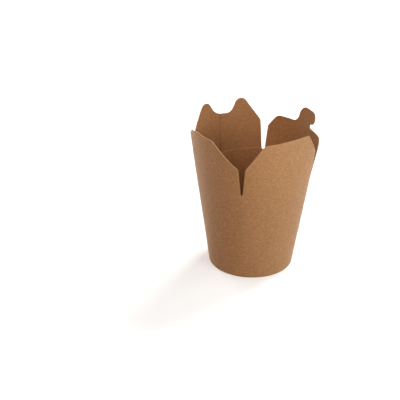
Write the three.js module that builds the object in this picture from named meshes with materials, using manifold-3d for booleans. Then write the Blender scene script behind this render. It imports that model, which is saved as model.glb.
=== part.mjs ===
// Noodle takeaway box of folded brown board, standing open and empty.
//
// Units are millimetres and +Z is up. The origin is the middle of the ring that the box stands on.
// The wall is ruled: straight lines join a round foot to a soft square at the crease, and the same
// lines run on into four closing flaps. The flaps face -X, -Y, +Y and +X, and a slot at each corner
// of the square parts them.
import * as THREE from 'three';
import { TessellateModifier } from 'three/addons/modifiers/TessellateModifier.js';
import { mergeVertices } from 'three/addons/utils/BufferGeometryUtils.js';
import Module from 'manifold-3d';

const wasm = await Module();
wasm.setup();

// Driving dimensions.
const BOARD = 0.5;            // thickness of the board
const GAP = 0.3;              // air between pieces that touch on the real box
const FOOT_R = 44;            // outer radius of the round foot
const CREASE_Z = 101;         // height of the crease that the flaps fold on
const CREASE_MID_R = 55.9;    // crease radius at the middle of a side
const CREASE_CORNER_R = 59.2; // crease radius at a corner
const CREASE_MEAN_R = 58;     // crease radius that turns a length along the crease into an angle
const CORNER_SHARPNESS = 6;   // exponent of the superellipse that shapes the corners

// Foot: the wall is turned up inside itself and grips the skirt of the raised base.
const HEM_TOP_Z = 6.3;
const HEM_FLOOR = 0.5;
const HEM_SLOT = BOARD + 2 * GAP;
const BASE_TOP_Z = 7.3;
const SKIRT_BOTTOM_Z = HEM_FLOOR + 0.4;
const WALL_TAPER = (CREASE_MID_R - FOOT_R) / CREASE_Z;

// Seam: one end of the blank laps inside the other, down the middle of the +Y side.
const SEAM = { from: -7, to: 3.6, bottomZ: 8, lap: 0.1 };

// Facets.
const WALL_COLUMNS = 96;
const WALL_ROWS = 5;
const BASE_SEGMENTS = 72;
const FLAP_EDGE = 9;          // longest edge on a flap
const CURVE_STEPS = 5;        // steps in a rounded corner

// Flaps. Each one's foot gives its two ends on the crease, and its outline goes over its top through corners
// [along the crease, height above it, radius]. The lean is in degrees, outward, and the straightening is how
// far the flap's middle leans in from its edges for each mm of height.
const FLAPS = {
  flap_notched: {
    facing: 90, lean: 0, straightening: 0.062, foot: [-44.6, 44.6],
    outline: [
      [-45.2, 31.3, 4], [-23.6, 64.4, 8], [-11.8, 42.2, 11], [9.7, 44.3, 17], [23.3, 64.4, 6.8], [44.8, 28, 3],
    ],
  },
  flap_plain: {
    facing: -90, lean: -0.3, straightening: 0.062, foot: [-44.6, 44.6],
    outline: [[-44.9, 29.2, 1], [-28.6, 52.8, 5], [28.6, 52.8, 1], [44.9, 29.2, 1]],
  },
  flap_narrow: {
    facing: 180, lean: -0.8, straightening: 0, foot: [-44.6, 44.6],
    outline: [[-46, 35, 1], [-26, 49.2, 4], [-11, 52.4, 20], [17.3, 51.7, 2], [45.3, 28, 1]],
  },
  flap_hooked: {
    facing: 0, lean: 3.6, straightening: 0.062, foot: [-44.6, 43.4],
    outline: [
      [-47, 28.7, 1], [-42.1, 38.2, 7.6], [-20, 39.1, 0],
      [-16.2, 39.1, 1.6], [-16, 43.6, 1.6], [-24.5, 43.5, 6.6], [-24.7, 56.8, 6.4], [4.1, 58.1, 11.5],
      [7.1, 39.1, 9.2], [16, 39.1, 0], [37, 38.2, 8.8], [45.3, 25.4, 5],
    ],
  },
};
const SEAM_TOP = 42.6;        // the lap stops this far above the crease, at the notched flap's scoop

const KRAFT = { roughness: 0.85, metalness: 0 };
const BOARD_COLOUR = 0xb98d62;
const BASE_COLOUR = 0xa87f57;
const degrees = THREE.MathUtils.degToRad;

// 0 at the middle of a side and 1 at a corner, along a superellipse.
function squareness(angle) {
  const power = CORNER_SHARPNESS;
  const radius = (Math.abs(Math.cos(angle)) ** power + Math.abs(Math.sin(angle)) ** power) ** (-1 / power);
  return (radius - 1) / (2 ** (1 / 2 - 1 / power) - 1);
}

// Outer radius of the ruled wall. The angle is measured from the middle of any side.
function wallRadius(angle, z) {
  const crease = CREASE_MID_R + (CREASE_CORNER_R - CREASE_MID_R) * squareness(angle);
  return FOOT_R + (crease - FOOT_R) * z / CREASE_Z;
}

// Point of the board at a length along the crease and a height, some way in from its outer face.
// The side faces +X. Above the crease the board straightens and leans as its flap does.
function boardPoint(along, z, inward, { lean = 0, straightening = 0 }) {
  const angle = along / (FOOT_R + (CREASE_MEAN_R - FOOT_R) * z / CREASE_Z);
  const above = Math.max(0, z - CREASE_Z);
  const straightened = straightening * above * (1 - squareness(angle));
  const radius = wallRadius(angle, z) - straightened - inward;
  const leaned = Math.tan(degrees(lean)) * above;
  return new THREE.Vector3(radius * Math.cos(angle) + leaned, radius * Math.sin(angle), z);
}

// Closed outline through corners [x, y, radius], each rounded by its radius.
function roundedShape(corners) {
  const shape = new THREE.Shape();
  corners.forEach(([x, y, radius = 0], i) => {
    const corner = new THREE.Vector2(x, y);
    const before = new THREE.Vector2(...corners.at(i - 1)).sub(corner).normalize();
    const after = new THREE.Vector2(...corners[(i + 1) % corners.length]).sub(corner).normalize();
    const half = Math.acos(before.dot(after)) / 2;
    const cut = radius / Math.tan(half);
    const start = corner.clone().addScaledVector(before, cut);
    if (i === 0) shape.moveTo(start.x, start.y);
    else shape.lineTo(start.x, start.y);
    if (radius === 0) return;
    const middle = before.clone().add(after).normalize().multiplyScalar(radius / Math.sin(half)).add(corner);
    const first = start.clone().sub(middle).angle();
    const last = corner.clone().addScaledVector(after, cut).sub(middle).angle();
    shape.absarc(middle.x, middle.y, radius, first, last, before.cross(after) > 0);
  });
  return shape;
}

// Bends a flat cut-out onto the board. The shape's x runs along the crease and its y is the height.
function bentBoard(shape, outer, inner, flap) {
  let geometry = new THREE.ExtrudeGeometry(shape, {
    depth: inner - outer, bevelEnabled: false, curveSegments: CURVE_STEPS,
  });
  geometry = new TessellateModifier(FLAP_EDGE, 12).modify(geometry);
  const position = geometry.attributes.position;
  for (let i = 0; i < position.count; i += 1) {
    const point = boardPoint(position.getX(i), position.getY(i), outer + position.getZ(i), flap);
    position.setXYZ(i, point.x, point.y, point.z);
  }
  return facingOut(welded(geometry));
}

function welded(geometry) {
  geometry.deleteAttribute('normal');
  geometry.deleteAttribute('uv');
  return mergeVertices(geometry, 1e-4);
}

// Reverses every triangle of a closed mesh whose volume comes out negative.
function facingOut(geometry) {
  const position = geometry.attributes.position;
  const index = geometry.index;
  const [a, b, c] = [new THREE.Vector3(), new THREE.Vector3(), new THREE.Vector3()];
  let volume = 0;
  for (let i = 0; i < index.count; i += 3) {
    a.fromBufferAttribute(position, index.getX(i));
    b.fromBufferAttribute(position, index.getX(i + 1));
    c.fromBufferAttribute(position, index.getX(i + 2));
    volume += a.dot(b.cross(c));
  }
  if (volume < 0) index.array.reverse();
  return geometry;
}

function toSolid(geometry) {
  return new wasm.Manifold(new wasm.Mesh({
    numProp: 3,
    vertProperties: new Float32Array(geometry.attributes.position.array),
    triVerts: new Uint32Array(geometry.index.array),
  }));
}

function fromSolid(solid) {
  const { vertProperties, triVerts } = solid.getMesh();
  const geometry = new THREE.BufferGeometry();
  geometry.setAttribute('position', new THREE.BufferAttribute(new Float32Array(vertProperties), 3));
  geometry.setIndex(new THREE.BufferAttribute(new Uint32Array(triVerts), 1));
  return geometry;
}

// The lap at the seam: a strip of board against the inner face, from one height to another.
function seamStrip(bottom, top, flap) {
  const strip = roundedShape([[SEAM.from, bottom], [SEAM.to, bottom], [SEAM.to, top], [SEAM.from, top]]);
  return toSolid(bentBoard(strip, BOARD - SEAM.lap, 2 * BOARD, flap));
}

// Wall with its turned-up hem: a closed profile of [inward, height] carried round the section.
function wallGeometry() {
  const slotEnd = BOARD + HEM_SLOT;
  const profile = [];
  for (let row = 0; row <= WALL_ROWS; row += 1) profile.push([0, CREASE_Z * row / WALL_ROWS]);
  for (let row = WALL_ROWS; row > 0; row -= 1) profile.push([BOARD, CREASE_Z * row / WALL_ROWS]);
  profile.push([BOARD, HEM_FLOOR], [slotEnd, HEM_FLOOR], [slotEnd, HEM_TOP_Z]);
  profile.push([slotEnd + BOARD, HEM_TOP_Z], [slotEnd + BOARD, 0]);

  const vertices = [];
  const triangles = [];
  for (let column = 0; column < WALL_COLUMNS; column += 1) {
    const angle = 2 * Math.PI * column / WALL_COLUMNS;
    for (const [inward, z] of profile) {
      const radius = wallRadius(angle, z) - inward;
      vertices.push(radius * Math.cos(angle), radius * Math.sin(angle), z);
    }
    const here = column * profile.length;
    const next = ((column + 1) % WALL_COLUMNS) * profile.length;
    for (let i = 0; i < profile.length; i += 1) {
      const j = (i + 1) % profile.length;
      triangles.push(here + i, next + i, next + j, here + i, next + j, here + j);
    }
  }
  const ring = new THREE.BufferGeometry();
  ring.setAttribute('position', new THREE.Float32BufferAttribute(vertices, 3));
  ring.setIndex(triangles);

  // The lap is bent on a side that faces +X and turned to face +Y.
  const lap = seamStrip(SEAM.bottomZ, CREASE_Z, {}).rotate([0, 0, 90]);
  return fromSolid(toSolid(facingOut(ring)).add(lap));
}

// Raised base: a disc whose skirt hangs in the hem.
function baseGeometry() {
  const outer = (z) => FOOT_R + WALL_TAPER * z - BOARD - GAP;
  const profile = [
    [0, BASE_TOP_Z - BOARD],
    [outer(BASE_TOP_Z - BOARD) - BOARD, BASE_TOP_Z - BOARD],
    [outer(SKIRT_BOTTOM_Z) - BOARD, SKIRT_BOTTOM_Z],
    [outer(SKIRT_BOTTOM_Z), SKIRT_BOTTOM_Z],
    [outer(BASE_TOP_Z), BASE_TOP_Z],
    [0, BASE_TOP_Z],
  ];
  const geometry = new THREE.LatheGeometry(profile.map(([r, z]) => new THREE.Vector2(r, z)), BASE_SEGMENTS);
  geometry.rotateX(Math.PI / 2);
  return facingOut(withoutSlivers(welded(geometry)));
}

// Drops the triangles that a lathe leaves with no area on its axis.
function withoutSlivers(geometry) {
  const kept = [];
  for (let i = 0; i < geometry.index.count; i += 3) {
    const [a, b, c] = [0, 1, 2].map((k) => geometry.index.getX(i + k));
    if (a !== b && b !== c && c !== a) kept.push(a, b, c);
  }
  geometry.setIndex(kept);
  return geometry;
}

// A flap, bent to its side. The notched one carries the seam's lap on up.
function flapGeometry(name) {
  const flap = FLAPS[name];
  const bottom = CREASE_Z + GAP;
  const outline = roundedShape([
    [flap.foot[1], bottom],
    [flap.foot[0], bottom],
    ...flap.outline.map(([along, height, radius]) => [along, CREASE_Z + height, radius]),
  ]);
  const geometry = bentBoard(outline, 0, BOARD, flap);
  if (name !== 'flap_notched') return geometry;
  return fromSolid(toSolid(geometry).add(seamStrip(bottom, CREASE_Z + SEAM_TOP, flap)));
}

function named(name, geometry, color = BOARD_COLOUR) {
  const flat = geometry.toNonIndexed();
  flat.computeVertexNormals();
  const mesh = new THREE.Mesh(flat, new THREE.MeshStandardMaterial({ ...KRAFT, color }));
  mesh.name = name;
  return mesh;
}

function box() {
  const group = new THREE.Group();
  group.add(named('wall', wallGeometry()));
  group.add(named('base', baseGeometry(), BASE_COLOUR));
  for (const [name, flap] of Object.entries(FLAPS)) {
    const side = new THREE.Group();
    side.rotation.z = degrees(flap.facing);
    side.add(named(name, flapGeometry(name)));
    group.add(side);
  }
  return group;
}

export default box();
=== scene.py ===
"""Noodle takeaway box of folded brown board, standing open and empty.

Shapes are worked out in millimetres and become metres when a mesh is made. +Z is up, and the origin is the
middle of the ring that the box stands on. The wall is ruled from a round foot to a soft square at the crease,
and the same lines run on into four closing flaps. Each flap's piece starts at the crease and leans and
straightens above it.
"""
import math

import bmesh
import bpy
import numpy as np
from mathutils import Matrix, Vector


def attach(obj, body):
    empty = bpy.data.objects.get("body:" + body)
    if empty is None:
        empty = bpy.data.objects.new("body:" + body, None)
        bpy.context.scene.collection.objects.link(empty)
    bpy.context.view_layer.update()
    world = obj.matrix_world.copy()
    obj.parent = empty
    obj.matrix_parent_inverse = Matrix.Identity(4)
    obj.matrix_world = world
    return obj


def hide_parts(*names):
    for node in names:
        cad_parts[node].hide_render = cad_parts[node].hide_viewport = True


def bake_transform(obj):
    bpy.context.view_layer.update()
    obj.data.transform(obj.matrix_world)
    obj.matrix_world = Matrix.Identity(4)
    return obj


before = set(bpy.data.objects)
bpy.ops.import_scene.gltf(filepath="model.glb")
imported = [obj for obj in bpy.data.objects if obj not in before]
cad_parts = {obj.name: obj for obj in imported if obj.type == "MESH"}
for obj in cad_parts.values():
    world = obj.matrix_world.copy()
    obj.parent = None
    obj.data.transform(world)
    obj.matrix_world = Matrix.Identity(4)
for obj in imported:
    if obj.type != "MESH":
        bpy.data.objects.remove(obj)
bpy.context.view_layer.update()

MM = 0.001

# Board and wall, in millimetres. The gap lies between the base's skirt and the wall. The soft square of the
# crease has a radius at the middle of a side and one at a corner. Their mean turns lengths into angles.
BOARD = 0.5
GAP = 0.3
FOOT_R = 44.0
CREASE_Z = 101.0
CREASE_MID_R = 55.9
CREASE_CORNER_R = 59.2
CREASE_MEAN_R = 58.0
CORNER_SHARPNESS = 6
CONE_SLOPE = math.hypot(CREASE_MEAN_R - FOOT_R, CREASE_Z) / CREASE_Z
SIDE_HALF = math.pi / 4 * CREASE_MEAN_R
CREASE_ROUND = 8 * SIDE_HALF

# Slots at the corners: half a flap's width, where the wall's close columns begin, and the depth of a slot's
# end for each mm of its half width.
FLAP_HALF = 44.6
SLOT_BEGINS = 43.0
SLOT_DIP = 0.3

# Foot: the wall is folded up inside itself round the skirt of the raised base, whose disc dishes a little.
FOLD_R = 0.5
HEM_GAP = 1.1
HEM_TOP_Z = 6.3
BASE_TOP_Z = 7.3
BASE_ROUND = 1.3
BASE_DISH = 0.4
SKIRT_BOTTOM_Z = 0.9

# Pressed crease: its depth outside, height inside and half width, and how far it fades out beside a slot.
CREASE_GROOVE = 0.05
CREASE_BEAD = 0.34
CREASE_WIDTH = 0.6
CREASE_FADE = 4.0

# Seam down the +Y side: where the blank's outer and inner ends stop, the width of their steps, and the length
# over which the inner end eases back out. It lies SEAM_FOOT deep at the hem and a whole board deep from the
# second height up. The wall's columns are upright up to the first length from the seam side's middle, and fan
# out fully from the second.
SEAM_SIDE = math.pi / 2
SEAM_OUTER = -7.0
SEAM_INNER = 3.6
SEAM_STEP = 0.03
SEAM_TAIL = 9.0
SEAM_FOOT = 0.25
SEAM_FULL_Z = (7.6, 9.4)
SEAM_UPRIGHT = (10.0, 24.0)

# Height above the crease over which a flap's board bends when it closes. Here it ends the pressed band of the
# pattern.
BEND = 7.0

# Numbers of the finishes: the board's two faces, its cut edge, and the edge at the seam's inner end, which is
# painted dark as the shade that falls along that step.
OUTSIDE, INSIDE, CUT, LAP_END_SHADE = range(4)

# Fineness of the meshes. A flap's columns are upright within UPRIGHT_HALF of its middle, and its rows crowd
# towards the crease. The wall's rows are (from, to, how many), and CREASE_ROWS are depths below the crease.
ARC_POINTS = 12
FOLD_POINTS = 6
EDGE_STEP = 0.9
LEAST_STEP = 0.2 * EDGE_STEP
UPRIGHT_HALF = 12.0
ROW_CROWDING = 1.6
TAB_COLUMNS = 30
TAB_ROWS = 26
SIDE_COLUMNS = 44
SLOT_COLUMNS = 16
COLUMN_CLEAR = 0.3
SEAM_ROWS = (FOLD_R, 12, 14)
WIDE_ROWS = (14, 94, 26)
CREASE_ROWS = np.array([4, 2.6, 1.8, 1.3, 1, 0.75, 0.55, 0.38, 0.24, 0.12, 0])
BASE_COLUMNS = 144
BASE_RINGS = 24
BASE_ARC_POINTS = 9
SHARP_DEGREES = 38

# Pattern of the board: how many features of each kind there are to a metre, how far in metres the stir moves
# them, and how the mottle and the flecks are drawn out sideways.
STIR, CLOUD, MOTTLE, FLECK, GRAIN = 260.0, 95.0, 430.0, 950.0, 2600.0
SWAY = (0.0012, 0.0012, 0)
SIDEWAYS = (0.6, 1.1, 1.0)

# Fibres and specks: their length and width in metres, the levels of the noise between which they fade in, and
# their headings in degrees. The dark fibres turn away from the pale ones.
PALE_FIBRE = {"size": (0.0016, 0.00009), "levels": (0.6, 0.74)}
DARK_FIBRE = {"size": (0.0012, 0.00008), "levels": (0.62, 0.76)}
SPECK = {"size": (0.0007, 0.00016), "levels": (0.735, 0.79)}
FIBRE_HEADINGS = (80, 104, 52)
DARK_TURN = 9
SPECK_HEADING = 70

# Share of each kind in the board's tone, in its roughness and in its relief, whose depth is in metres. The
# tone shows more in blue than in red. A speck has a share of the board's colour, and hides a share of it.
TONE = {"mottle": 0.62, "fleck": 0.42, "grain": 0.2, "pale": 0.1, "dark": 0.12, "cloud": 0.16}
TONE_TINT = (0.9, 1.2, 1.5)
ROUGH = {"mottle": 0.16, "grain": 0.1}
RELIEF = {"mottle": 0.5, "grain": 0.5, "pale": 0.35, "dark": 0.3}
RELIEF_STRENGTH = 0.5
RELIEF_DEPTH = 0.00006
SPECK_SHADE = 0.42
SPECK_COVER = 0.55

# Cut edge: the thickness of a ply in metres, how many torn fibres there are to a metre, and how it all shows.
PLY = BOARD * MM / 6
TORN = 3200.0
EDGE_TONE = {"even": 0.86, "ply": 0.1, "torn": 0.16}
EDGE_DEPTH = 0.00004
EDGE_PLY_RISE = 0.3

# Pattern at the crease, in millimetres from it: where its pale line (a painted highlight of the light that
# the pressed bead catches) fades, where the band that bends fades in and how far its upper edge is blurred.
# The last number is the share of the pattern that the band loses.
CREASE_LINE = (0.1, 1.0)
BAND_BEGINS = (-1.5, 1.0)
BAND_BLUR = 1.5
PRESSED_FLAT = 0.6

# Camera, in metres, and the way that it looks.
CAMERA_PLACE = (-0.4989, -0.7068, 0.50135)
CAMERA_HEADING = (0.4688, 0.7606, -0.4491)
CAMERA_SENSOR = 36.0
CAMERA_LENS = 83.69

# Lamps: their distance in metres, their width for each metre of it, and the height that they are aimed at.
LAMP_DISTANCE = 1.6
LAMP_SPREAD = 0.56
LAMP_AIM = 0.07

# Floor, in metres: its height, half its width, and the distances from the box between which it turns white.
FLOOR_Z = -0.00005
FLOOR_REACH = 6.0
FLOOR_FADES = (0.4, 1.6)

# Flaps. A foot gives the flap's two ends on the crease. Tops and tabs are corners (along the crease, height
# above it, radius), from one side to the other. The lean is in degrees, outward. Straightening is how far the
# middle leans in from the flap's edges for each mm of height. TAB_TOP numbers the two corners at a tab's free
# end, and TAB_RUNOUT is a length of the edge beside the tab that shapes the arcs at its foot.
FLAPS = {
    "flap_notched": {
        "body": "notched_flap", "facing": 90, "lean": 0.0, "straightening": 0.062, "rows": 56,
        "foot": (-44.6, 44.6),
        "top": [(-45.2, 31.3, 4), (-23.6, 64.4, 8), (-11.8, 42.2, 11), (9.7, 44.3, 17), (23.3, 64.4, 6.8),
                (44.8, 28, 3)],
    },
    "flap_plain": {
        "body": "plain_flap", "facing": -90, "lean": -0.3, "straightening": 0.062, "rows": 48,
        "foot": (-44.6, 44.6),
        "top": [(-44.9, 29.2, 1), (-28.6, 52.8, 5), (28.6, 52.8, 1), (44.9, 29.2, 1)],
    },
    "flap_narrow": {
        "body": "narrow_flap", "facing": 180, "lean": -0.8, "straightening": 0.0, "rows": 48,
        "foot": (-44.6, 44.6),
        "top": [(-46, 35, 1), (-26, 49.2, 4), (-11, 52.4, 20), (17.3, 51.7, 2), (45.3, 28, 1)],
    },
    "flap_hooked": {
        "body": "hooked_flap", "facing": 0, "lean": 3.6, "straightening": 0.062, "rows": 44,
        "foot": (-44.6, 43.4),
        "top": [(-47, 28.7, 1), (-42.1, 38.2, 7.6), (-20, 39.1, 0), (16, 39.1, 0), (37, 38.2, 8.8),
                (45.3, 25.4, 5)],
        "tab": [(-16.2, 39.1, 1.6), (-16, 43.6, 1.6), (-24.5, 43.5, 6.6), (-24.7, 56.8, 6.4),
                (4.1, 58.1, 11.5), (7.1, 39.1, 9.2)],
    },
}
TAB_TOP = (3, 4)
TAB_RUNOUT = 9


# Shape of the board.

def squareness(angle):
    """0 at the middle of a side and 1 at a corner: how far a superellipse stands out from its circle."""
    power = CORNER_SHARPNESS
    reach = (np.abs(np.cos(angle)) ** power + np.abs(np.sin(angle)) ** power) ** (-1 / power)
    return (reach - 1) / (2 ** (1 / 2 - 1 / power) - 1)


def mean_radius(z):
    """Radius that turns a length along the board into an angle at a height: straight from foot to crease."""
    return FOOT_R + (CREASE_MEAN_R - FOOT_R) * z / CREASE_Z


def board_point(angle, z, inward, lean=0.0, straightening=0.0):
    """Point at an angle and a height, some way in from the ruled surface.

    The radius runs straight from the foot's circle through the soft square at the crease. Above the crease it
    falls back by the straightening for each mm of height, most at the middle of a side, and the flap leans
    out along +X.
    """
    square = squareness(angle)
    crease = CREASE_MID_R + (CREASE_CORNER_R - CREASE_MID_R) * square
    above = np.maximum(0, z - CREASE_Z)
    radius = FOOT_R + (crease - FOOT_R) * z / CREASE_Z - straightening * above * (1 - square) - inward
    out = math.tan(math.radians(lean)) * above
    return np.stack([radius * np.cos(angle) + out, radius * np.sin(angle), z], -1)


def eased(share):
    """A share clipped to 0 and 1, with level ends."""
    share = np.clip(share, 0, 1)
    return share * share * (3 - 2 * share)


def from_middle(angle, turn):
    """Signed angle from the nearest multiple of a turn."""
    return (angle + turn / 2) % turn - turn / 2


def board_faces(angle, z):
    """How far in the board's outer and inner faces stand from the ruled surface.

    Without a crease or a seam that is 0 and BOARD. The crease is a bell-shaped groove outside and bead
    inside, fading out beside a slot. At the seam the outer end of the blank stops at SEAM_OUTER and the inner
    end at SEAM_INNER. The inner end lies one board deeper between them, and eases back out over SEAM_TAIL
    beyond the outer end's edge.
    """
    beside_slot = (FLAP_HALF - np.abs(from_middle(angle, math.pi / 2)) * mean_radius(z)) / CREASE_FADE
    press = eased(beside_slot) * np.exp(-(((z - CREASE_Z) / CREASE_WIDTH) ** 2))
    along = from_middle(angle - SEAM_SIDE, 2 * math.pi) * mean_radius(z)
    low, high = SEAM_FULL_Z
    depth = SEAM_FOOT + (BOARD - SEAM_FOOT) * eased((z - low) / (high - low))
    under = along < SEAM_OUTER - SEAM_STEP / 2
    tail = depth * eased(1 + (along - SEAM_OUTER) / SEAM_TAIL)
    outer = CREASE_GROOVE * press + np.where(under, tail, 0)
    lap = np.where(along < SEAM_INNER - SEAM_STEP / 2, depth, 0)
    inner = BOARD + CREASE_BEAD * press + np.where(under, tail, lap)
    return outer, inner


def lap_end_columns(along):
    """Which steps between columns, at lengths from the seam side's middle, are the inner end's cut edge."""
    return np.abs((along[:-1] + along[1:]) / 2 - (SEAM_INNER - SEAM_STEP / 2)) < SEAM_STEP / 2


def apex_distance(z):
    """Length from the apex of the wall's mean cone, down its slope, to a height."""
    return (FOOT_R * CREASE_Z / (CREASE_MEAN_R - FOOT_R) + z) * CONE_SLOPE


def blank_map(angle, z):
    """Place on the flat blank, in metres: a cone unrolls to a fan, cut where the seam's outer edge runs."""
    narrowing = (CREASE_MEAN_R - FOOT_R) / (CREASE_Z * CONE_SLOPE)
    from_apex = apex_distance(z)
    round_from_seam = (angle - SEAM_SIDE - (SEAM_OUTER - SEAM_STEP / 2) / mean_radius(z)) % (2 * math.pi)
    fan = (round_from_seam - math.pi) * narrowing
    return np.stack([from_apex * np.sin(fan), from_apex * np.cos(fan)], -1) * MM


# Meshes.

def make_piece(name, points, quads, maps, finish, weld=False):
    """A mesh object from points in millimetres, quads, a map place for each corner, and finish numbers."""
    mesh = bpy.data.meshes.new(name)
    mesh.from_pydata((points * MM).tolist(), [], quads.tolist())
    mesh.uv_layers.new(name="blank").uv.foreach_set("vector", maps.astype(np.float32).ravel())
    mesh.polygons.foreach_set("material_index", finish.astype(np.int32))
    if weld:
        work = bmesh.new()
        work.from_mesh(mesh)
        bmesh.ops.remove_doubles(work, verts=work.verts, dist=1e-3 * MM)
        work.to_mesh(mesh)
        work.free()
    mesh.shade_smooth()
    mesh.set_sharp_from_angle(angle=math.radians(SHARP_DEGREES))
    mesh.update()
    piece = bpy.data.objects.new(name, mesh)
    bpy.context.scene.collection.objects.link(piece)
    return piece


def grid_quads(index):
    """Quads of a grid of vertex numbers [column, row]."""
    return np.stack([index[:-1, :-1], index[1:, :-1], index[1:, 1:], index[:-1, 1:]], -1).reshape(-1, 4)


def ring_closed(index, axis):
    """A grid of vertex numbers with its first line repeated after its last."""
    return np.concatenate([index, np.take(index, [0], axis)], axis)


def rounded_path(corners):
    """Path through corners (along, height, radius): straight runs joined by arcs that touch them."""
    corners = np.array(corners, float)
    points = [corners[:1, :2]]
    for before, here, after in zip(corners, corners[1:], corners[2:]):
        corner, radius = here[:2], here[2]
        if not radius:
            points.append(corner[None])
            continue
        back = (before[:2] - corner) / np.linalg.norm(before[:2] - corner)
        onward = (after[:2] - corner) / np.linalg.norm(after[:2] - corner)
        half = math.acos(back @ onward) / 2
        bisector = (back + onward) / np.linalg.norm(back + onward)
        middle = corner + bisector * radius / math.sin(half)
        start, end = (corner + way * radius / math.tan(half) - middle for way in (back, onward))
        sweep = math.pi - 2 * half
        share = np.linspace(0, 1, ARC_POINTS)[:, None]
        arc = np.sin((1 - share) * sweep) * start + np.sin(share * sweep) * end
        points.append(middle + arc / math.sin(sweep))
    points.append(corners[-1:, :2])
    return np.concatenate(points)


def walk(path, at):
    """Points of a path at lengths from its start, straight between the path's own points."""
    run = run_of(path)
    return np.stack([np.interp(at, run, path[:, k]) for k in range(2)], -1)


def run_of(path):
    """Length from a path's start to each of its points."""
    return np.concatenate([[0], np.cumsum(np.hypot(*np.diff(path, axis=0).T))])


def flap_body(flap, marks):
    """Grid [column, row] of (along, height) from the crease up to the flap's top edge.

    Each column is straight. Its top end walks along the edge and its foot walks along the crease. In the
    middle of the side the columns stand upright, and to both sides they share out the rest of the crease by
    the edge's length.
    """
    low, high = flap["foot"]
    edge = rounded_path([(low, 0, 0), *flap["top"], (high, 0, 0)])[1:-1]
    run = run_of(edge)
    marked = np.interp(marks, edge[:, 0], run)
    even = np.arange(0, run[-1], EDGE_STEP)
    kept = np.concatenate([run, marked])
    even = even[np.abs(even[:, None] - kept).min(1) > LEAST_STEP]
    at = np.unique(np.round(np.concatenate([even, kept]), 6))
    top = walk(edge, at)
    left, right = np.interp([-UPRIGHT_HALF, UPRIGHT_HALF], edge[:, 0], run)
    foot = np.interp(at, [0, left, right, run[-1]], [low, -UPRIGHT_HALF, UPRIGHT_HALF, high])
    foot = np.where((at > left) & (at < right), top[:, 0], foot)
    up = np.linspace(0, 1, flap["rows"]) ** ROW_CROWDING
    base = np.stack([foot, np.zeros_like(foot)], -1)
    return base[:, None] + (top - base)[:, None] * up[:, None]


def tab_patch(corners, level):
    """Grid [column, row] over a tab on a level edge: a Coons patch between its foot, its sides and its top.

    The top runs between the middles of the arcs at the tab's two free corners.
    """
    before = (corners[0][0] - TAB_RUNOUT, level, 0)
    after = (corners[-1][0] + TAB_RUNOUT, level, 0)
    edge = rounded_path([before, *corners, after])[1:-1]
    run = run_of(edge)
    peaks = [np.mean(run[[k * ARC_POINTS, (k + 1) * ARC_POINTS - 1]]) for k in TAB_TOP]
    up = np.linspace(0, 1, TAB_ROWS)
    across = np.linspace(0, 1, TAB_COLUMNS + 1)
    left = walk(edge, up * peaks[0])
    right = walk(edge, run[-1] - up * (run[-1] - peaks[1]))
    top = walk(edge, peaks[0] + across * (peaks[1] - peaks[0]))
    foot = edge[0] + across[:, None] * (edge[-1] - edge[0])
    u, v = across[:, None, None], up[None, :, None]
    sides = (1 - u) * left[None] + u * right[None]
    ends = (1 - v) * foot[:, None] + v * top[:, None]
    corner = (1 - u) * ((1 - v) * foot[0] + v * top[0]) + u * ((1 - v) * foot[-1] + v * top[-1])
    return sides + ends - corner


def board_shell(grid, flap, edge_kept, offset=0):
    """Closed board over a grid of (along, height): outer face, inner face, and the cut edge round both.

    edge_kept says for each side of the grid, in the order foot, right, top, left, which of its steps get a
    cut edge.
    """
    turn = math.radians(flap["facing"])
    along, z = grid[..., 0], CREASE_Z + grid[..., 1]
    angle = along / mean_radius(z)
    depths = board_faces(angle + turn, z)
    faces = [board_point(angle, z, depth, flap["lean"], flap["straightening"]) for depth in depths]
    points = np.concatenate([face.reshape(-1, 3) for face in faces])
    cos, sin = math.cos(turn), math.sin(turn)
    points[:, :2] = points[:, :2] @ np.array([[cos, sin], [-sin, cos]])

    columns, rows = along.shape
    outer = np.arange(columns * rows).reshape(columns, rows)
    inner = outer + outer.size
    place = blank_map(angle + turn, z).reshape(-1, 2)
    place = np.concatenate([place, place])
    sides = [grid_quads(outer), grid_quads(inner)[:, ::-1]]
    edges, edge_maps = [], []
    for line, kept in zip((outer[:, 0], outer[-1], outer[::-1, -1], outer[0, ::-1]), edge_kept):
        run = np.concatenate([[0], np.cumsum(np.linalg.norm(np.diff(points[line], axis=0), axis=1))]) * MM
        quads = np.stack([line[:-1], line[:-1] + outer.size, line[1:] + outer.size, line[1:]], -1)
        across = np.array([0, BOARD, BOARD, 0]) * MM
        length = np.stack([run[:-1], run[:-1], run[1:], run[1:]], -1)
        edges.append(quads[kept])
        edge_maps.append(np.stack([length, np.broadcast_to(across, length.shape)], -1)[kept])
    edges, edge_maps = np.concatenate(edges), np.concatenate(edge_maps)
    maps = np.concatenate([place[sides[0]], place[sides[1]], edge_maps])
    finish = np.repeat([OUTSIDE, INSIDE, CUT], [len(sides[0]), len(sides[1]), len(edges)])
    from_seam = from_middle(angle[:, 0] + turn - SEAM_SIDE, 2 * math.pi) * mean_radius(z[:, 0])
    inner_finish = finish[len(sides[0]):len(sides[0]) + len(sides[1])]
    # The inner end's step at the seam gets the finish that is painted dark as shade.
    inner_finish[np.repeat(lap_end_columns(from_seam), rows - 1)] = LAP_END_SHADE
    return points, np.concatenate([*sides, edges]) + offset, maps, finish


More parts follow.
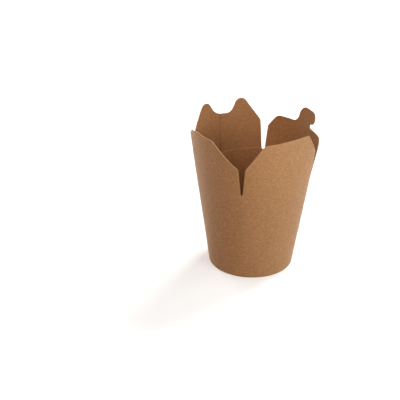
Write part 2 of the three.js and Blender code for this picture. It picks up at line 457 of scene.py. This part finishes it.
def flap_piece(name, flap, finishes):
    """One flap, closed all round, which rests on the wall's top edge."""
    marks = []
    if name == "flap_notched":
        marks = [SEAM_OUTER - SEAM_STEP, SEAM_OUTER, SEAM_INNER - SEAM_STEP, SEAM_INNER]
    tab = None
    if "tab" in flap:
        level = flap["tab"][0][1]
        tab = tab_patch(flap["tab"], level)
        marks = tab[:, 0, 0]
    body = flap_body(flap, marks)
    columns, rows = body.shape[:2]
    along_top = (body[:-1, -1, 0] + body[1:, -1, 0]) / 2
    under_tab = np.zeros(columns - 1, bool)
    if tab is not None:
        under_tab = (along_top > tab[0, 0, 0]) & (along_top < tab[-1, 0, 0])
    every = [np.ones(columns - 1, bool), np.ones(rows - 1, bool), ~under_tab[::-1], np.ones(rows - 1, bool)]
    parts = [board_shell(body, flap, every)]
    if tab is not None:
        ends = [np.zeros(TAB_COLUMNS, bool), np.ones(TAB_ROWS - 1, bool), np.ones(TAB_COLUMNS, bool),
                np.ones(TAB_ROWS - 1, bool)]
        parts.append(board_shell(tab, flap, ends, offset=len(parts[0][0])))
    points, quads, maps, finish = (np.concatenate(group) for group in zip(*parts))
    piece = make_piece(name + "_board", points, quads, maps, finish, weld=True)
    dress(piece, finishes)
    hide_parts(name)
    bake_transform(piece)


def wall_columns():
    """Lengths along the crease of the wall's columns, from the seam's outer edge right round to it."""
    inside = np.linspace(0, SLOT_BEGINS, SIDE_COLUMNS)
    slot = np.linspace(SLOT_BEGINS, SIDE_HALF, SLOT_COLUMNS)[1:]
    half = np.concatenate([inside, slot])
    side = np.concatenate([-half[:0:-1], half])
    along = np.unique(np.round(np.concatenate([side + 2 * SIDE_HALF * k for k in range(4)]), 6))
    along = SEAM_OUTER + (along - SEAM_OUTER) % CREASE_ROUND
    marks = np.array([SEAM_OUTER, SEAM_INNER - SEAM_STEP, SEAM_INNER, SEAM_OUTER - SEAM_STEP + CREASE_ROUND])
    along = along[np.abs(along[:, None] - marks).min(1) > COLUMN_CLEAR]
    return np.unique(np.round(np.concatenate([along, marks]), 6))


def slot_dips(crease_along):
    """How far the wall's top edge dips at lengths along the crease: a shallow half ellipse in each slot."""
    flaps = sorted(FLAPS.values(), key=lambda flap: (flap["facing"] - 90) % 360)
    dips = np.zeros_like(crease_along)
    for side, (flap, following) in enumerate(zip(flaps, flaps[1:] + flaps[:1])):
        begins = flap["foot"][1] + 2 * SIDE_HALF * side
        ends = following["foot"][0] + 2 * SIDE_HALF * (side + 1)
        half = (ends - begins) / 2
        off = from_middle(crease_along - begins - half, CREASE_ROUND)
        dips += SLOT_DIP * np.sqrt(np.maximum(0, half ** 2 - off ** 2))
    return dips


def wall_piece(finishes):
    """Wall, fold and hem: a closed profile carried round the box.

    The profile goes up the outer face, over the top edge, down the inner face, round the pocket that holds
    the base, up and down the hem, and round the fold. The top edge dips in each slot. The columns stand
    upright at the seam, whose edges they follow, and fan out with the cone beyond it.
    """
    crease_along = wall_columns()
    top = CREASE_Z - slot_dips(crease_along)

    climb = np.concatenate([np.linspace(*SEAM_ROWS), np.linspace(*WIDE_ROWS), CREASE_Z - CREASE_ROWS])
    hem_in = BOARD + HEM_GAP
    bend = np.linspace(0, math.pi / 2, FOLD_POINTS)[1:]
    hem_fall = np.linspace(HEM_TOP_Z, FOLD_R, FOLD_POINTS)
    fold_in = np.concatenate([hem_in + FOLD_R * np.cos(bend), FOLD_R - FOLD_R * np.sin(bend[::-1])])
    fold_z = np.concatenate([FOLD_R - FOLD_R * np.sin(bend), FOLD_R - FOLD_R * np.cos(bend[::-1])])

    # Kind of each row, how far in it lies and its height, in the order of the profile.
    outer_rows, inner_rows, plain_rows = 0, 1, 2
    kind = np.concatenate([
        np.full(len(climb), outer_rows), np.full(len(climb), inner_rows),
        np.full(3 + len(hem_fall) + len(fold_in) - 1, plain_rows),
    ])
    inward = np.concatenate([
        np.zeros(len(climb)), np.full(len(climb), BOARD),
        [hem_in, hem_in, hem_in + BOARD], np.full(len(hem_fall) - 1, hem_in + BOARD), fold_in,
    ])
    height = np.concatenate([climb, climb[::-1], [FOLD_R, HEM_TOP_Z, HEM_TOP_Z], hem_fall[1:], fold_z])
    z = height * np.where(height > HEM_TOP_Z, top[:, None] / CREASE_Z, 1)

    wrapped = from_middle(crease_along, CREASE_ROUND)
    near, far = SEAM_UPRIGHT
    upright = eased((far - np.abs(wrapped)) / (far - near))[:, None]
    angle = SEAM_SIDE + ((crease_along - wrapped) / CREASE_MEAN_R)[:, None] \
        + wrapped[:, None] * ((1 - upright) / CREASE_MEAN_R + upright / mean_radius(z))
    outer, inner = board_faces(angle, z)
    sunk = inward + outer * (1 - inward / (hem_in + BOARD))
    depth = np.where(kind == outer_rows, outer, np.where(kind == inner_rows, inner, sunk))
    points = board_point(angle, z, depth).reshape(-1, 3)

    columns, rows = z.shape
    index = np.arange(columns * rows).reshape(columns, rows)
    place = blank_map(angle, z)
    quads = grid_quads(ring_closed(ring_closed(index, 0), 1))
    maps = place.reshape(-1, 2)[quads]

    # The last strip joins the two ends of the blank at the seam's outer edge, so its map stays at one end.
    strips = maps.reshape(columns, rows, 4, 2)
    strips[-1, :, 1:3] = strips[-1, :, [0, 3]].transpose(1, 0, 2)

    # The cut edges are the wall's top, the hem's top and the seam's outer edge.
    finish = np.full((columns, rows), OUTSIDE)
    finish[:, kind == inner_rows] = INSIDE
    finish[:, [len(climb) - 1, 2 * len(climb) + 1]] = CUT
    finish[-1, :len(climb) - 1] = CUT
    # The inner end's step at the seam gets the finish that is painted dark as shade.
    finish[:-1, len(climb):2 * len(climb) - 1][lap_end_columns(crease_along)] = LAP_END_SHADE
    piece = make_piece("wall_board", points, quads, strips.reshape(-1, 4, 2), finish.ravel())
    dress(piece, finishes)
    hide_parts("wall")
    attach(piece, "cup")


def base_piece(finishes):
    """Raised base: a slightly dished disc whose rim rounds over into a skirt, turned about the axis."""
    taper = (CREASE_MID_R - FOOT_R) / CREASE_Z

    def skirt(z):
        """Radius of the skirt's outer face, a gap inside the wall's inner one."""
        return FOOT_R + taper * z - BOARD - GAP

    bend = np.linspace(0, math.pi / 2, BASE_ARC_POINTS)
    flat = np.linspace(0, skirt(BASE_TOP_Z) - BASE_ROUND, BASE_RINGS)[:-1]
    dish = BASE_DISH * (1 - (flat / flat[-1]) ** 2) ** 2
    round_mid = np.array([skirt(BASE_TOP_Z - BASE_ROUND) - BASE_ROUND, BASE_TOP_Z - BASE_ROUND])
    over = round_mid + BASE_ROUND * np.stack([np.sin(bend), np.cos(bend)], -1)
    under = round_mid + (BASE_ROUND - BOARD) * np.stack([np.sin(bend), np.cos(bend)], -1)
    foot = [[skirt(SKIRT_BOTTOM_Z), SKIRT_BOTTOM_Z], [skirt(SKIRT_BOTTOM_Z) - BOARD, SKIRT_BOTTOM_Z]]
    upper = np.stack([flat, BASE_TOP_Z - dish], -1)
    profile = np.concatenate([upper, over, foot, under[::-1], (upper - [0, BOARD])[::-1]])

    turn = np.arange(BASE_COLUMNS) * 2 * math.pi / BASE_COLUMNS
    radius, height = profile.T
    points = np.stack([radius * np.cos(turn)[:, None], radius * np.sin(turn)[:, None],
                       np.broadcast_to(height, (BASE_COLUMNS, len(height)))], -1)
    index = np.arange(BASE_COLUMNS * len(profile)).reshape(BASE_COLUMNS, -1)
    quads = grid_quads(ring_closed(index, 0))[:, ::-1]
    maps = (points[..., :2] * MM).reshape(-1, 2)[quads]
    rows = np.full(len(profile) - 1, OUTSIDE)
    rows[:len(upper) + len(over)] = INSIDE
    rows[len(upper) + len(over)] = CUT
    finish = np.tile(rows, BASE_COLUMNS)
    piece = make_piece("base_disc", points.reshape(-1, 3), quads, maps, finish, weld=True)
    dress(piece, finishes)
    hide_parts("base")
    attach(piece, "cup")


def dress(piece, finishes):
    """Gives a piece its materials, in the order of the finish numbers."""
    for material in finishes:
        piece.data.materials.append(material)


# Materials.

class Amount:
    """A number that varies over a surface. Sums, differences, products and quotients of it add Math nodes."""

    def __init__(self, paint, socket):
        self.paint = paint
        self.socket = socket

    def math(self, operation, *values):
        """A Math node on its numbered values."""
        return self.paint.node("ShaderNodeMath", {"operation": operation}, dict(enumerate(values)))

    def __add__(self, other):
        return self.math("ADD", self, other)

    def __sub__(self, other):
        return self.math("SUBTRACT", self, other)

    def __rsub__(self, other):
        return self.math("SUBTRACT", other, self)

    def __mul__(self, other):
        return self.math("MULTIPLY", self, other)

    def __truediv__(self, other):
        return self.math("DIVIDE", self, other)

    def __abs__(self):
        return self.math("ABSOLUTE", self)

    def zigzag(self, width):
        """Up and down between 0 and a width."""
        return self.math("PINGPONG", self, width)

    __radd__ = __add__
    __rmul__ = __mul__

    def between(self, low, high):
        """0 below low and 1 above high, eased between them."""
        return self.paint.node("ShaderNodeMapRange", {"interpolation_type": "SMOOTHSTEP"},
                               {"Value": self, "From Min": low, "From Max": high})


class Paint:
    """A material being made, with one Principled shader."""

    def __init__(self, name):
        self.material = bpy.data.materials.new(name)
        self.material.use_nodes = True
        self.tree = self.material.node_tree
        self.tree.nodes.clear()
        self.shader = self.tree.nodes.new("ShaderNodeBsdfPrincipled")
        output = self.tree.nodes.new("ShaderNodeOutputMaterial")
        self.tree.links.new(self.shader.outputs[0], output.inputs[0])

    def node(self, kind, settings, inputs, output=0):
        """Adds a node: its settings first, then the value or the link of each named or numbered input."""
        made = self.tree.nodes.new(kind)
        for name, value in settings.items():
            setattr(made, name, value)
        for name, value in inputs.items():
            self.feed(made.inputs[name], value)
        return Amount(self, made.outputs[output])

    def feed(self, socket, value):
        """Links an amount to a socket, or sets the socket's own value."""
        if isinstance(value, Amount):
            self.tree.links.new(value.socket, socket)
        else:
            socket.default_value = value

    def set(self, **values):
        """Sets the shader's own sockets. An underscore in a name stands for a space."""
        for name, value in values.items():
            self.feed(self.shader.inputs[name.replace("_", " ")], value)

    def mix(self, share, first, second):
        """One colour over another by a share."""
        return self.node("ShaderNodeMix", {"data_type": "RGBA"}, {0: share, 6: first, 7: second}, 2)

    def scaled(self, colour, factor):
        """A colour or vector times a number."""
        return self.node("ShaderNodeVectorMath", {"operation": "SCALE"}, {0: colour, "Scale": factor})

    def noise(self, place, scale, detail=2.0, rough=0.5, output=0):
        """Flat noise round one half. Output 1 is its colour, for a noise in each direction."""
        return self.node("ShaderNodeTexNoise", {"noise_dimensions": "2D"},
                         {"Vector": place, "Scale": scale, "Detail": detail, "Roughness": rough}, output)

    def bump(self, strength, depth, height):
        """Normal of a relief whose height of 1 is a depth in metres."""
        return self.node("ShaderNodeBump", {}, {"Strength": strength, "Distance": depth, "Height": height})


def rgb(red, green, blue):
    """An opaque colour."""
    return (red, green, blue, 1.0)


def fibres(paint, place, kind, heading, shift):
    """Streaks along a heading: noise stretched to their size, shown where it is above their levels.

    The shift keeps one set of them clear of another.
    """
    laid = paint.node("ShaderNodeMapping", {"vector_type": "TEXTURE"}, {
        "Vector": place, "Location": (shift, -shift, 0), "Rotation": (0, 0, math.radians(heading)),
        "Scale": (*kind["size"], 1),
    })
    return paint.noise(laid, 1.0, 1.0).between(*kind["levels"])


def board_pattern(paint):
    """Cloudy formation, sideways mottle and flecks, fine grain, pale and dark fibres, and sparse dark specks.

    They lie on the flat blank's own map, stirred a little.
    """
    flat = paint.node("ShaderNodeUVMap", {"uv_map": "blank"}, {})
    stir = paint.noise(flat, STIR, 2.0, output=1)
    sway = paint.node("ShaderNodeVectorMath", {"operation": "MULTIPLY_ADD"},
                      {0: stir, 1: SWAY, 2: flat})
    laid = paint.node("ShaderNodeVectorMath", {"operation": "MULTIPLY"}, {0: sway, 1: SIDEWAYS})
    cloud = paint.noise(flat, CLOUD, 3.0, 0.55) - 0.5
    mottle = paint.noise(laid, MOTTLE, 3.0, 0.6) - 0.5
    fleck = paint.noise(laid, FLECK, 2.0, 0.6) - 0.5
    grain = paint.noise(flat, GRAIN, 2.0) - 0.5
    pale = dark = 0
    for number, heading in enumerate(FIBRE_HEADINGS):
        pale = pale + fibres(paint, sway, PALE_FIBRE, heading, 0.11 * number)
        dark = dark + fibres(paint, sway, DARK_FIBRE, heading + DARK_TURN, 0.07 + 0.13 * number)
    specks = fibres(paint, sway, SPECK, SPECK_HEADING, 0.9)
    return cloud, mottle, fleck, grain, pale, dark, specks


def crease_masks(paint):
    """Masks of the crease's line, which gets a painted highlight, and of the band above it that bends with
    the flap.

    The blank is a fan, so the crease is the arc at one distance from its apex.
    """
    flat = paint.node("ShaderNodeUVMap", {"uv_map": "blank"}, {})
    from_apex = paint.node("ShaderNodeVectorMath", {"operation": "LENGTH"}, {0: flat}, 1)
    above = from_apex - apex_distance(CREASE_Z) * MM
    line = 1 - abs(above).between(*(edge * MM for edge in CREASE_LINE))
    begins = above.between(*(edge * MM for edge in BAND_BEGINS))
    ends = above.between((BEND - BAND_BLUR) * MM, (BEND + BAND_BLUR) * MM)
    return line, begins * (1 - ends)


def kraft(name, colour, strength, roughness, shine, lining=0.0, crease_highlight=0.0):
    """Brown board. strength scales the pattern and lining smooths it under a thin film. The last argument
    pales the crease's line as a painted highlight of the light that the pressed bead catches.

    Pressing the crease flattens the pattern in the band that bends.
    """
    paint = Paint(name)
    cloud, mottle, fleck, grain, pale, dark, specks = board_pattern(paint)
    crease, band = crease_masks(paint)
    kept = 1 - band * PRESSED_FLAT
    tone = mottle * TONE["mottle"] + fleck * TONE["fleck"] + grain * TONE["grain"]
    tone = tone + pale * TONE["pale"] - dark * TONE["dark"]
    # The crease's line is painted paler: a painted highlight of the light that the pressed bead catches.
    tone = strength * tone * kept + cloud * (TONE["cloud"] * strength) + crease * crease_highlight
    board = paint.node("ShaderNodeVectorMath", {"operation": "MULTIPLY_ADD"},
                       {0: paint.scaled(TONE_TINT, tone), 1: colour, 2: colour})
    speck = rgb(*(part * SPECK_SHADE for part in colour))
    paint.set(Base_Color=paint.mix(specks * (SPECK_COVER * strength), board, speck))

    rough = roughness + mottle * ROUGH["mottle"] + grain * ROUGH["grain"]
    fine_relief = grain * RELIEF["grain"] + pale * RELIEF["pale"] + dark * RELIEF["dark"]
    relief = (fine_relief + mottle * RELIEF["mottle"]) * kept
    normal = paint.bump(RELIEF_STRENGTH * (1 - lining), RELIEF_DEPTH, relief)
    paint.set(Roughness=rough, Specular_IOR_Level=shine, Normal=normal)
    return paint.material


def cut_edge(name, colour):
    """Cut edge of the board: thin plies side by side, with torn fibres along them."""
    paint = Paint(name)
    edge = paint.node("ShaderNodeUVMap", {"uv_map": "blank"}, {})
    across = paint.node("ShaderNodeSeparateXYZ", {}, {0: edge}, 1)
    ply = across.zigzag(PLY) / PLY
    torn = paint.noise(edge, TORN, 3.0, 0.6)
    tone = EDGE_TONE["even"] + ply * EDGE_TONE["ply"] + torn * EDGE_TONE["torn"]
    normal = paint.bump(RELIEF_STRENGTH, EDGE_DEPTH, torn + ply * EDGE_PLY_RISE)
    paint.set(Base_Color=paint.scaled(colour, tone), Roughness=0.9, Specular_IOR_Level=0.25, Normal=normal)
    return paint.material


# Stage.

def camera():
    """Camera well above the box and beyond its front left corner, looking down on it."""
    data = bpy.data.cameras.new("view")
    data.sensor_width = CAMERA_SENSOR
    data.lens = CAMERA_LENS
    eye = bpy.data.objects.new("view", data)
    eye.location = CAMERA_PLACE
    eye.rotation_euler = Vector(CAMERA_HEADING).to_track_quat("-Z", "Y").to_euler()
    bpy.context.scene.collection.objects.link(eye)
    bpy.context.scene.camera = eye


def soft_light(name, azimuth, elevation, power, distance=LAMP_DISTANCE, colour=(1.0, 1.0, 1.0)):
    """Square soft light aimed at the box. Azimuth 0 is in front, along -Y, and 90 on the +X side."""
    data = bpy.data.lights.new(name, "AREA")
    data.shape = "SQUARE"
    data.size = LAMP_SPREAD * distance
    data.energy = power
    data.color = colour
    a, e = math.radians(azimuth), math.radians(elevation)
    away = Vector((math.sin(a) * math.cos(e), -math.cos(a) * math.cos(e), math.sin(e)))
    lamp = bpy.data.objects.new(name, data)
    lamp.location = away * distance + Vector((0, 0, LAMP_AIM))
    lamp.rotation_euler = away.to_track_quat("Z", "Y").to_euler()
    bpy.context.scene.collection.objects.link(lamp)


def floor():
    """Plain pale floor just under the foot, which glows white beyond the reach of the lamps."""
    mesh = bpy.data.meshes.new("floor")
    corners = [(x * FLOOR_REACH, y * FLOOR_REACH, FLOOR_Z) for x, y in ((-1, -1), (1, -1), (1, 1), (-1, 1))]
    mesh.from_pydata(corners, [], [(0, 1, 2, 3)])
    ground = bpy.data.objects.new("floor", mesh)
    bpy.context.scene.collection.objects.link(ground)
    paint = Paint("pale_floor")
    place = paint.node("ShaderNodeTexCoord", {}, {}, 3)
    cloud = paint.node("ShaderNodeTexNoise", {}, {"Vector": place, "Scale": 3.0, "Detail": 2.0})
    away = paint.node("ShaderNodeVectorMath", {"operation": "LENGTH"}, {0: place}, 1).between(*FLOOR_FADES)
    glow = paint.mix(away, rgb(0.1, 0.1, 0.1), rgb(0.95, 0.95, 0.95))
    paint.set(Base_Color=paint.mix(cloud, rgb(0.9, 0.9, 0.9), rgb(0.92, 0.92, 0.915)), Roughness=0.9,
              Emission_Color=glow, Emission_Strength=1.0)
    mesh.materials.append(paint.material)
    ground.visible_diffuse = False


def backdrop():
    """Plain white wall round the floor, which lights nothing and only closes the view at low angles."""
    columns, reach, rise = 48, FLOOR_REACH * 0.95, FLOOR_REACH
    turn = np.arange(columns + 1) * 2 * math.pi / columns
    ring = np.stack([reach * np.cos(turn), reach * np.sin(turn)], -1)
    points = np.concatenate([np.insert(ring, 2, height, axis=1) for height in (-0.1, rise)])
    mesh = bpy.data.meshes.new("backdrop")
    mesh.from_pydata(points.tolist(), [], grid_quads(np.arange(len(points)).reshape(2, -1)).tolist())
    wall = bpy.data.objects.new("backdrop", mesh)
    bpy.context.scene.collection.objects.link(wall)
    paint = Paint("white_backdrop")
    paint.set(Base_Color=rgb(0.0, 0.0, 0.0), Roughness=1.0, Specular_IOR_Level=0.0,
              Emission_Color=rgb(1.0, 1.0, 1.0), Emission_Strength=1.0)
    mesh.materials.append(paint.material)
    wall.visible_diffuse = wall.visible_glossy = wall.visible_shadow = False


def sky(colour, strength):
    """Even pale light from all round."""
    world = bpy.data.worlds.new("pale_room")
    world.use_nodes = True
    world.node_tree.nodes["Background"].inputs["Color"].default_value = colour
    world.node_tree.nodes["Background"].inputs["Strength"].default_value = strength
    bpy.context.scene.world = world


camera()
outside = kraft("kraft_outside", (0.464, 0.232, 0.098), 1.0, 0.52, 0.24)
# The lined inside is painted paler along its crease as a painted highlight.
inside = kraft("kraft_lined_inside", (0.302, 0.14, 0.0555), 0.8, 0.6, 0.16, lining=0.5, crease_highlight=0.2)
# Cut edges are painted a paler tan: partly the board's paler raw core, partly a painted highlight for the
# light that catches the thin edges.
edge = cut_edge("kraft_cut_edge_pale_and_highlit", (0.6, 0.38, 0.21))
# The seam's inner cut edge is painted dark brown: painted shade for the thin shadow line along its step.
lap_end_shade = cut_edge("kraft_lap_end_painted_shade", (0.2, 0.09, 0.04))
board = (outside, inside, edge, lap_end_shade)

wall_piece(board)
base_piece(board)
for flap_name, flap_shape in FLAPS.items():
    flap_piece(flap_name, flap_shape, board)

bpy.context.scene.view_settings.view_transform = "Standard"
floor()
backdrop()
sky(rgb(1.0, 1.0, 1.0), 0.03)
soft_light("right", 60, 10, 12.3, colour=(0.93, 1.0, 1.0))
soft_light("right_behind", 110, 40, 28)
soft_light("front", 12, 27, 2.75, distance=0.75, colour=(0.91, 0.97, 1.0))
soft_light("left", -45, 30, 12.2, colour=(1.0, 0.86, 0.77))
soft_light("left_above", -95, 55, 6.8)
soft_light("left_behind", -172, 10, 20)
